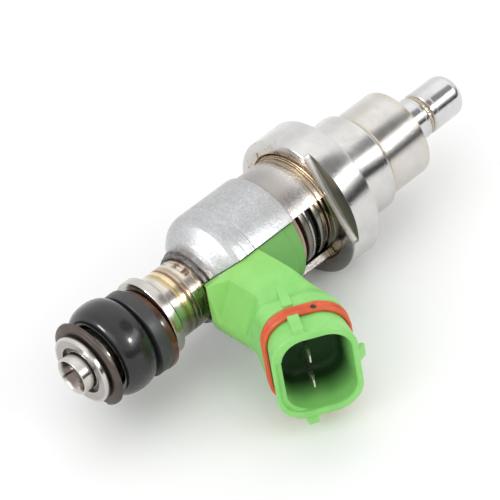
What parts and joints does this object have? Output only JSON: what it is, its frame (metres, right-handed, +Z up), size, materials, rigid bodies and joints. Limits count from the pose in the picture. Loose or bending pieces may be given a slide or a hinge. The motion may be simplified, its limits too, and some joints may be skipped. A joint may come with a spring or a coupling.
{
  "type": "fuel injector",
  "caption": "Direct fuel injector: flanged steel body with a slim spray tip, slotted solenoid shell, sealed fuel inlet and a tilted side electrical socket.",
  "frame": {"origin": "on the injector's axis, in the plane of the flange's seat face (the face towards the spray tip)", "axes": "+X along the injector's axis towards the spray tip, -Y the side that the connector leaves on, +Z up as the injector lies on a bench with its connector level"},
  "size_m": [0.0898, 0.0482, 0.026],
  "materials": {
    "turned_steel": "bright turned stainless steel with fine lathe lines",
    "shell_steel": "drawn satin stainless sheet",
    "tinted_steel": "stainless steel with straw and bronze heat tint beside the welds",
    "dark_steel": "dull dark-finished spring steel",
    "soft_iron": "plain ferritic steel",
    "spring_steel": "bright spring wire",
    "copper_wire": "enamelled copper winding",
    "black_rubber": "oiled black fluororubber",
    "black_plastic": "charcoal filled PTFE",
    "brown_plastic": "amber brown backup ring",
    "pale_plastic": "natural pink-beige moulded bobbin",
    "green_plastic": "light green glass-filled nylon",
    "orange_rubber": "orange-red silicone",
    "tinned_brass": "tin-plated brass",
    "filter_mesh": "fine woven stainless mesh"
  },
  "bodies": {
    "injector_body": {"inlet_cap": "turned_steel", "inlet_filter": "filter_mesh", "inlet_pipe": "tinted_steel", "retainer_ring": "dark_steel", "inlet_o_ring": "black_rubber", "backup_ring_black": "black_plastic", "backup_ring_brown": "brown_plastic", "fixed_core": "soft_iron", "adjusting_sleeve": "turned_steel", "return_spring": "spring_steel", "coil_bobbin": "pale_plastic", "coil_winding": "copper_wire", "nonmagnetic_sleeve": "shell_steel", "solenoid_shell": "shell_steel", "lower_sleeve": "tinted_steel", "connector_body": "green_plastic", "connector_seal": "orange_rubber", "terminal_lower": "tinned_brass", "terminal_upper": "tinned_brass", "yoke_washer": "soft_iron", "thrust_washer": "turned_steel", "dust_seal": "black_rubber", "spacer_ring": "soft_iron", "flange_body": "turned_steel", "needle_stop": "spring_steel", "needle_guide": "soft_iron", "nozzle_holder": "turned_steel", "nozzle_tube": "turned_steel", "tip_weld_bead": "tinted_steel", "nozzle_tip": "turned_steel"},
    "needle_assembly": {"needle": "turned_steel", "armature": "soft_iron"}
  },
  "joints": [
    {"name": "needle_lift", "type": "slide", "parent": "injector_body", "child": "needle_assembly", "axis": [-1, 0, 0], "range_m": [0, 0.00008], "stiffness_N_per_m": 20, "springref_m": -0.003, "deforming": ["return_spring"]}
  ]
}
